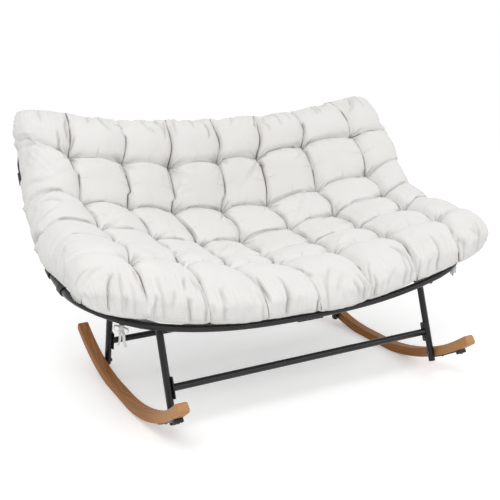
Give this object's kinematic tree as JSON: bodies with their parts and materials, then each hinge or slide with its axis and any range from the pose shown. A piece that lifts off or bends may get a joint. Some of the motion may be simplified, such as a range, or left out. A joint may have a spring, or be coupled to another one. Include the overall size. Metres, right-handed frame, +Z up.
{
  "type": "rocking bench",
  "caption": "Two-seat rocking bench: a tufted saddle-shaped cushion on a bent tube hoop with ribs, steel legs and stretchers on curved wooden rockers.",
  "frame": {"origin": "on the floor under the middle of the bench's bounding box", "axes": "+X along the seat, towards the right of someone who looks at the bench from the front; +Y towards the backrest; +Z up. The bench faces -Y."},
  "size_m": [1.4526, 0.9762, 0.8734],
  "materials": {
    "frame_steel": "satin",
    "fastener_steel": "satin",
    "rocker_wood": "satin",
    "cap_plastic": "matte",
    "stop_rubber": "matte",
    "webbing": "matte",
    "cushion_fabric": "matte",
    "tie_fabric": "matte"
  },
  "bodies": {
    "root": {"anti_tip_stop_left": "stop_rubber", "anti_tip_stop_right": "stop_rubber", "anti_tip_strip_left": "frame_steel", "anti_tip_strip_right": "frame_steel", "back_saddle_screw_left": "fastener_steel", "back_saddle_screw_right": "fastener_steel", "cushion": "cushion_fabric", "cushion_tie_back_left": "tie_fabric", "cushion_tie_back_right": "tie_fabric", "cushion_tie_front_left": "tie_fabric", "cushion_tie_front_right": "tie_fabric", "front_leg_cap_left": "cap_plastic", "front_leg_cap_right": "cap_plastic", "front_leg_left": "frame_steel", "front_leg_right": "frame_steel", "front_plate_bolt_lower_left": "fastener_steel", "front_plate_bolt_lower_right": "fastener_steel", "front_plate_bolt_upper_left": "fastener_steel", "front_plate_bolt_upper_right": "fastener_steel", "front_plate_left": "frame_steel", "front_plate_right": "frame_steel", "front_rocker_bolt_left": "fastener_steel", "front_rocker_bolt_right": "fastener_steel", "front_saddle_screw_left": "fastener_steel", "front_saddle_screw_right": "fastener_steel", "hoop_half_left": "frame_steel", "hoop_half_right": "frame_steel", "hoop_sleeve_back": "frame_steel", "hoop_sleeve_front": "frame_steel", "rear_leg_cap_left": "cap_plastic", "rear_leg_cap_right": "cap_plastic", "rear_leg_left": "frame_steel", "rear_leg_right": "frame_steel", "rear_plate_bolt_lower_left": "fastener_steel", "rear_plate_bolt_lower_right": "fastener_steel", "rear_plate_bolt_upper_left": "fastener_steel", "rear_plate_bolt_upper_right": "fastener_steel", "rear_plate_left": "frame_steel", "rear_plate_right": "frame_steel", "rear_rocker_bolt_left": "fastener_steel", "rear_rocker_bolt_right": "fastener_steel", "rib_centre": "frame_steel", "rib_left": "frame_steel", "rib_right": "frame_steel", "rib_saddle_back": "frame_steel", "rib_saddle_front": "frame_steel", "rocker_left": "rocker_wood", "rocker_right": "rocker_wood", "stretcher_front": "frame_steel", "stretcher_rear": "frame_steel", "strip_screw_front_left": "fastener_steel", "strip_screw_front_right": "fastener_steel", "strip_screw_rear_left": "fastener_steel", "strip_screw_rear_right": "fastener_steel", "webbing_strap_1": "webbing", "webbing_strap_2": "webbing", "webbing_strap_3": "webbing", "webbing_strap_4": "webbing", "webbing_strap_5": "webbing"}
  },
  "joints": []
}
